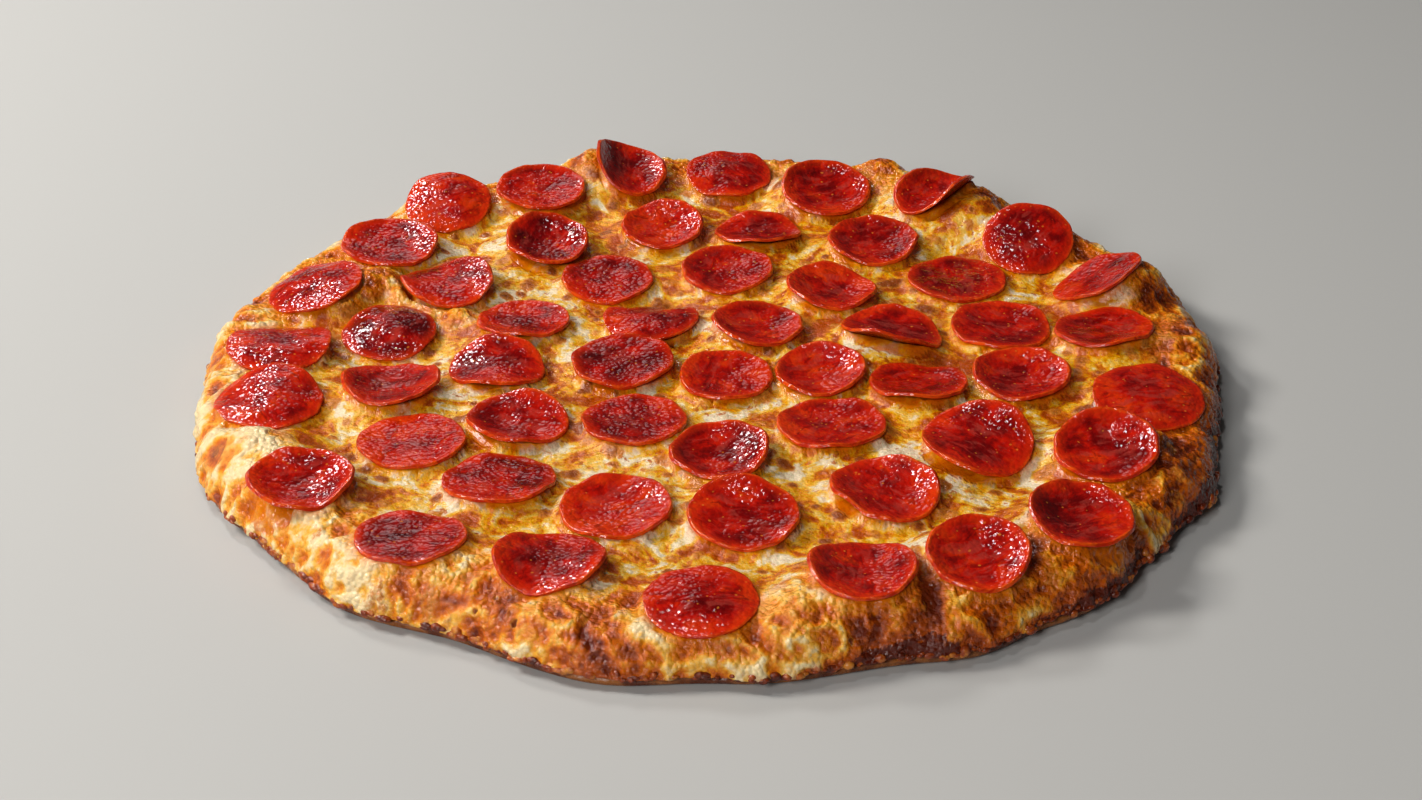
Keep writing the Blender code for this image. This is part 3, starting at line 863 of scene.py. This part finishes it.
class Graph:
    """Adds and links the nodes of one material or node group."""

    def __init__(self, tree):
        self.tree = tree

    def add(self, kind, settings=None, **inputs):
        """Add a node, set its options and feed its named inputs."""
        node = self.tree.nodes.new(kind)
        for name, value in (settings or {}).items():
            setattr(node, name, value)
        for name, value in inputs.items():
            self.feed(node.inputs[name.replace("_", " ")], value)
        return node

    def feed(self, socket, value):
        """Link a socket to another one, or set its value."""
        if isinstance(value, bpy.types.NodeSocket):
            self.tree.links.new(value, socket)
        else:
            socket.default_value = value

    def maths(self, operation, first, second):
        """Result of a sum on two numbers."""
        node = self.add("ShaderNodeMath", {"operation": operation})
        self.feed(node.inputs[0], first)
        self.feed(node.inputs[1], second)
        return node.outputs[0]

    def step(self, value, low, high, start=0.0, end=1.0):
        """Smooth change from start to end as a value goes from low to high."""
        node = self.add("ShaderNodeMapRange", {"interpolation_type": "SMOOTHSTEP"}, Value=value)
        for name, number in (("From Min", low), ("From Max", high), ("To Min", start), ("To Max", end)):
            node.inputs[name].default_value = number
        return node.outputs["Result"]

    def blend(self, share, first, second):
        """Colour between two colours."""
        node = self.add("ShaderNodeMix", {"data_type": "RGBA"})
        for index, value in ((0, share), (6, first), (7, second)):
            self.feed(node.inputs[index], value)
        return node.outputs[2]

    def ramp(self, value, stops):
        """Colour that runs through several stops, each a value and a colour."""
        node = self.add("ShaderNodeValToRGB", Fac=value)
        marks = node.color_ramp.elements
        while len(marks) < len(stops):
            marks.new(1.0)
        for mark, (position, tone) in zip(marks, stops):
            mark.position = position
            mark.color = tone
        return node.outputs["Color"]

    def weighted(self, *parts):
        """Sum of values, each with its weight."""
        total = 0.0
        for value, weight in parts:
            total = self.maths("ADD", total, self.maths("MULTIPLY", value, weight))
        return total

    def weighed_place(self, place, weights):
        """A place with each of its numbers multiplied by a weight."""
        node = self.add("ShaderNodeVectorMath", {"operation": "MULTIPLY"})
        self.feed(node.inputs[0], place)
        node.inputs[1].default_value = weights
        return node.outputs[0]

    def noise(self, place, size, detail=3.0, roughness=0.5, distortion=0.0):
        """Noise whose lumps are about one size across, from 0 to 1."""
        node = self.add("ShaderNodeTexNoise", Vector=place, Scale=1 / size, Detail=detail,
                        Roughness=roughness, Distortion=distortion)
        return node.outputs["Fac"]

    def cells(self, place, size):
        """Distance pattern of cells about one size across."""
        return self.add("ShaderNodeTexVoronoi", Vector=place, Scale=1 / size).outputs["Distance"]

    def stretched(self, place, scale, turn=0.0):
        """A place's pattern drawn out along one direction."""
        node = self.add("ShaderNodeMapping", Vector=place)
        node.inputs["Scale"].default_value = scale
        node.inputs["Rotation"].default_value = (0, 0, math.radians(turn))
        return node.outputs["Vector"]

    def kept(self, name, output="Fac"):
        """A number or place that the piece's points carry."""
        return self.add("ShaderNodeAttribute", {"attribute_name": name}).outputs[output]

    def object_place(self):
        """Place on the piece."""
        return self.add("ShaderNodeTexCoord").outputs["Object"]

    def bump(self, height, distance):
        """Normal with fine relief."""
        return self.add("ShaderNodeBump", Height=height, Strength=1.0, Distance=distance).outputs["Normal"]


def new_material(name):
    """A material with its graph and its shader."""
    finish = bpy.data.materials.new(name)
    finish.use_nodes = True
    shader = finish.node_tree.nodes["Principled BSDF"]
    return finish, Graph(finish.node_tree), shader


def set_shader(shader, **values):
    """Plain values on the shader's own sockets."""
    for name, value in values.items():
        shader.inputs[name.replace("_", " ")].default_value = value


def new_group(name, inputs, outputs):
    """An empty shader node group with named sockets, and its graph."""
    tree = bpy.data.node_groups.new(name, "ShaderNodeTree")
    for label, kind in inputs:
        tree.interface.new_socket(label, in_out="INPUT", socket_type=kind)
    for label, kind in outputs:
        tree.interface.new_socket(label, in_out="OUTPUT", socket_type=kind)
    graph = Graph(tree)
    start = tree.nodes.new("NodeGroupInput")
    end = tree.nodes.new("NodeGroupOutput")
    return tree, graph, start.outputs, end.inputs


def oily_grain_group():
    """Fine baked grain: a height for bumps and a roughness that follows it."""
    tree, graph, given, results = new_group(
        "oily grain",
        (("Place", "NodeSocketVector"), ("Size", "NodeSocketFloat")),
        (("Height", "NodeSocketFloat"), ("Roughness", "NodeSocketFloat")),
    )
    scale = graph.maths("DIVIDE", 1.0, given["Size"])
    coarse = graph.add("ShaderNodeTexNoise", Vector=given["Place"], Scale=scale,
                       Detail=4.0, Roughness=0.6).outputs["Fac"]
    cells = graph.add("ShaderNodeTexVoronoi", Vector=given["Place"],
                      Scale=graph.maths("MULTIPLY", scale, 0.6)).outputs["Distance"]
    beads = graph.maths("SUBTRACT", 1.0, cells)
    graph.feed(results["Height"], graph.weighted((coarse, 0.6), (beads, 0.4)))
    graph.feed(results["Roughness"], graph.step(coarse, 0.35, 0.65, 0.12, 0.38))
    return tree


def cheese_material(grain_group):
    """Creamy melted cheese with oil, toasted blisters and a golden baked rim, with painted light and shade
    in its colour.
    """
    finish, graph, shader = new_material("baked_cheese")
    place = graph.object_place()
    rim = graph.kept("rim")
    ragged = graph.noise(place, RAGGED_GRAIN, detail=3.0, roughness=0.65)
    # Orange halo round the slices: their oil, and painted shade where they meet the cheese
    oil_and_shade_halo = graph.maths("MULTIPLY", graph.kept("oil"), graph.step(ragged, 0.25, 0.6, 0.4, 1.0))
    cheese = graph.blend(rim, field_colour(graph, place, ragged), rim_colour(graph, place, ragged))
    base = graph.blend(graph.maths("MULTIPLY", oil_and_shade_halo, 0.85), cheese, ORANGE_OIL_AND_SHADE)
    toast = graph.weighted((graph.kept("toast"), 1.0), (ragged, 0.9), (1.0, -0.45))
    golden = graph.blend(graph.step(toast, 0.12, 0.5), base, TOASTED_GOLD)
    browned = graph.blend(graph.step(toast, 0.45, 0.95), golden, TOASTED_BROWN)
    graph.feed(shader.inputs["Base Color"], foot_colour(graph, place, ragged, browned))
    detail = graph.add("ShaderNodeGroup", {"node_tree": grain_group}, Place=place, Size=CHEESE_GRAIN)
    dry = graph.step(graph.kept("oil"), 0.35, 0.95, 1.0, 0.45)
    wet_rim = graph.maths("MULTIPLY", dry, graph.step(rim, 0.2, 0.9, 1.0, 0.5))
    graph.feed(shader.inputs["Roughness"], graph.maths("MULTIPLY", detail.outputs["Roughness"], wet_rim))
    crumbs = graph.maths("MULTIPLY", graph.cells(place, RIM_CRUMBS), graph.step(rim, 0.2, 0.9, 0.0, -0.9))
    relief = graph.maths("MULTIPLY", graph.maths("ADD", detail.outputs["Height"], crumbs), dry)
    graph.feed(shader.inputs["Normal"], graph.bump(relief, CHEESE_BUMP))
    set_shader(shader, Subsurface_Weight=0.1, Subsurface_Scale=0.002, IOR=1.45)
    return finish


def foot_colour(graph, place, ragged, above):
    """The rim turns red-brown and then nearly black where it meets the pan, higher where the stored baking
    holds painted shade.
    """
    height = graph.add("ShaderNodeSeparateXYZ", Vector=place).outputs["Z"]
    patches = graph.noise(place, FOOT_PATCHES, detail=4.0, roughness=0.65)
    # The stored baking carries painted shade, which lifts the dark band on the shaded right
    level = graph.weighted((height, 1.0), (ragged, -0.004), (patches, -0.014), (graph.kept("bake"), -0.042))
    amber = graph.blend(graph.step(level, -0.0052, -0.0082, 0.0, 0.9), above, CARAMEL)
    return graph.blend(graph.step(level, -0.0080, -0.0098), amber, SCORCHED)


def field_colour(graph, place, ragged):
    """Cream where the cheese stands up, yellow and orange where oil lies in its hollows."""
    patches = graph.noise(place, FIELD_PATCHES, detail=6.0, roughness=0.60, distortion=0.9)
    # The stored baking adds broad painted light on the near left and painted shade on the right and far side
    tone = graph.weighted((patches, 0.95), (graph.kept("ridge"), 0.12), (ragged, 0.16),
                          (graph.kept("bake"), -0.6), (1.0, -0.040))
    flecks = graph.noise(place, FLECKS, detail=4.0, roughness=0.6, distortion=0.3)
    specks = graph.step(flecks, 0.60, 0.64, 0.0, 0.9)
    return graph.blend(specks, graph.ramp(tone, FIELD_TONES), TOASTED_FLECKS)


def rim_colour(graph, place, ragged):
    """Baked rim, from deep orange-brown through gold to creamy patches, with painted light and shade."""
    patches = graph.noise(place, RIM_PATCHES, detail=5.0, roughness=0.62, distortion=0.9)
    # Crests are painted paler and hollows darker: partly oil lying in the hollows, partly painted highlight
    # and shade.
    tone = graph.weighted((patches, 0.60), (graph.kept("ridge"), 0.40), (ragged, 0.25),
                          # The stored baking adds painted light on the left and painted shade on the right
                          (graph.kept("bake"), -1.0), (1.0, -0.10))
    return graph.ramp(tone, RIM_TONES)


def pepperoni_material(grain_group):
    """Wet cured meat: red with mauve streaks of fat and painted sheen, dark veins, orange dots and an orange
    rim that is partly painted glow.
    """
    finish, graph, shader = new_material("pepperoni_meat")
    out = graph.kept("out")
    place = graph.weighed_place(graph.kept("flat", "Vector"), (1, 1, SLICE_SPACING))
    drawn_out = graph.stretched(place, (0.4, 1.0, 1.0), 12)
    streaks = graph.noise(drawn_out, MEAT_STREAKS, detail=4.0, roughness=0.58, distortion=0.8)
    meat = meat_colour(graph, place, streaks, out)
    # The orange rim and edge are partly the meat's colour and partly painted glow of light through the thin
    # edge
    edge = graph.blend(graph.step(streaks, 0.4, 0.6), SLICE_EDGE_DARK, SLICE_EDGE_LIGHT)
    ring = graph.blend(graph.step(out, 0.74, 0.97, 0.0, 0.55), meat, SLICE_RIM_AND_GLOW)
    graph.feed(shader.inputs["Base Color"], graph.blend(graph.step(out, 0.93, 1.0, 0.0, 0.8), ring, edge))
    wet = graph.noise(place, MEAT_GRAIN, detail=3.0, roughness=0.6)
    graph.feed(shader.inputs["Roughness"], graph.step(wet, 0.40, 0.64, 0.06, 0.15))
    detail = graph.add("ShaderNodeGroup", {"node_tree": grain_group}, Place=place, Size=MEAT_GRAIN)
    cells = graph.cells(place, MEAT_CELLS)
    height = graph.weighted((streaks, 0.3), (detail.outputs["Height"], 0.2), (cells, -0.6))
    graph.feed(shader.inputs["Normal"], graph.bump(height, MEAT_BUMP))
    set_shader(shader, Subsurface_Weight=0.08, Subsurface_Scale=0.0012, IOR=1.5)
    return finish


def meat_colour(graph, place, streaks, out):
    """Red that differs from slice to slice, with mauve streaks that are partly fat and partly painted sheen,
    dark veins and orange dots.
    """
    hue = graph.noise(graph.weighed_place(place, (0.12, 0.12, 1.0)), MEAT_HUES, detail=1.0)
    blotches = graph.noise(place, MEAT_BLOTCHES, detail=4.0, roughness=0.6)
    red = graph.ramp(graph.weighted((blotches, 0.6), (hue, 0.5), (out, 0.05)), MEAT_TONES)
    # Mauve streaks, strongest in the middle of a slice: partly fat, partly painted sheen
    mauve = graph.maths("MULTIPLY", graph.step(streaks, 0.48, 0.62), graph.step(out, 0.95, 0.45, 0.0, 0.45))
    marbled = graph.blend(mauve, red, MAUVE_FAT_AND_SHEEN)
    veined = graph.blend(graph.step(streaks, 0.47, 0.35, 0.0, 0.55), marbled, DARK_VEINS)
    dots = graph.step(graph.cells(place, MEAT_DOTS), 0.15, 0.08, 0.0, 0.5)
    return graph.blend(dots, veined, ORANGE_DOTS)


def dough_material(grain_group):
    """Dry browned crust, nearly burnt at the edge."""
    finish, graph, shader = new_material("baked_dough_crust")
    place = graph.object_place()
    patches = graph.noise(place, DOUGH_PATCHES, detail=4.0, roughness=0.6)
    browned = graph.blend(graph.step(patches, 0.4, 0.6), BURNT_DOUGH, BROWN_DOUGH)
    graph.feed(shader.inputs["Base Color"], browned)
    detail = graph.add("ShaderNodeGroup", {"node_tree": grain_group}, Place=place, Size=DOUGH_GRAIN)
    graph.feed(shader.inputs["Roughness"], detail.outputs["Roughness"])
    graph.feed(shader.inputs["Normal"], graph.bump(detail.outputs["Height"], DOUGH_BUMP))
    set_shader(shader, IOR=1.48)
    return finish


def bead_material():
    """Caramelised beads, from dark red-brown to amber."""
    finish, graph, shader = new_material("baked_beads")
    place = graph.object_place()
    tone = graph.noise(place, BEAD_PATCHES, detail=4.0, roughness=0.6)
    graph.feed(shader.inputs["Base Color"], graph.ramp(tone, BEAD_TONES))
    graph.feed(shader.inputs["Normal"], graph.bump(graph.noise(place, BEAD_GRAIN), BEAD_BUMP))
    set_shader(shader, Roughness=0.2, Subsurface_Weight=0.1, Subsurface_Scale=0.0015, IOR=1.5)
    return finish


def floor_material():
    """Plain pale floor."""
    finish, _, shader = new_material("pale_floor")
    set_shader(shader, Base_Color=PALE_FLOOR, Roughness=0.8)
    return finish


def make_floor():
    """Plain pale floor, which isn't part of the pizza."""
    deselect()
    bpy.ops.mesh.primitive_plane_add(size=FLOOR_SIZE, location=(0, 0, 0))
    floor = bpy.context.object
    floor.name = "floor"
    floor.data.materials.append(floor_material())


def aimed(place, aim):
    """Rotation that points -Z from a place to an aim."""
    return (Vector(aim) - Vector(place)).to_track_quat("-Z", "Y").to_euler()


def make_camera():
    """Camera at the photograph's angle."""
    bpy.ops.object.camera_add(location=CAMERA_PLACE, rotation=aimed(CAMERA_PLACE, CAMERA_AIM))
    camera = bpy.context.object
    camera.data.lens = CAMERA_LENS
    camera.data.sensor_width = SENSOR_WIDTH
    bpy.context.scene.camera = camera


def make_light(name, place, size, power, tint):
    """One soft square light aimed at the pizza."""
    bpy.ops.object.light_add(type="AREA", location=place, rotation=aimed(place, (0, 0, 0)))
    light = bpy.context.object
    light.name = name
    light.data.size = size
    light.data.energy = power
    light.data.color = tint


def make_lights():
    """Soft studio light, strongest from the left, and a little light from all round."""
    for row in LIGHTS:
        make_light(*row)
    world = bpy.context.scene.world or bpy.data.worlds.new("studio")
    bpy.context.scene.world = world
    world.use_nodes = True
    background = world.node_tree.nodes["Background"]
    background.inputs["Color"].default_value = AMBIENT_TINT
    background.inputs["Strength"].default_value = AMBIENT_STRENGTH
    bpy.context.scene.view_settings.view_transform = "Standard"


def main():
    """The studio and all the pieces of the pizza."""
    grain_group = oily_grain_group()
    make_camera()
    make_lights()
    make_floor()
    meat = pepperoni_material(grain_group)
    slices = [make_slice(number, meat) for number in range(1, SLICE_COUNT + 1)]
    slices_tree = tree_of(slices)
    cheese = make_cheese(cheese_material(grain_group), slices_tree)
    make_dough(dough_material(grain_group))
    make_beads(bead_material(), tree_of([cheese]))


main()
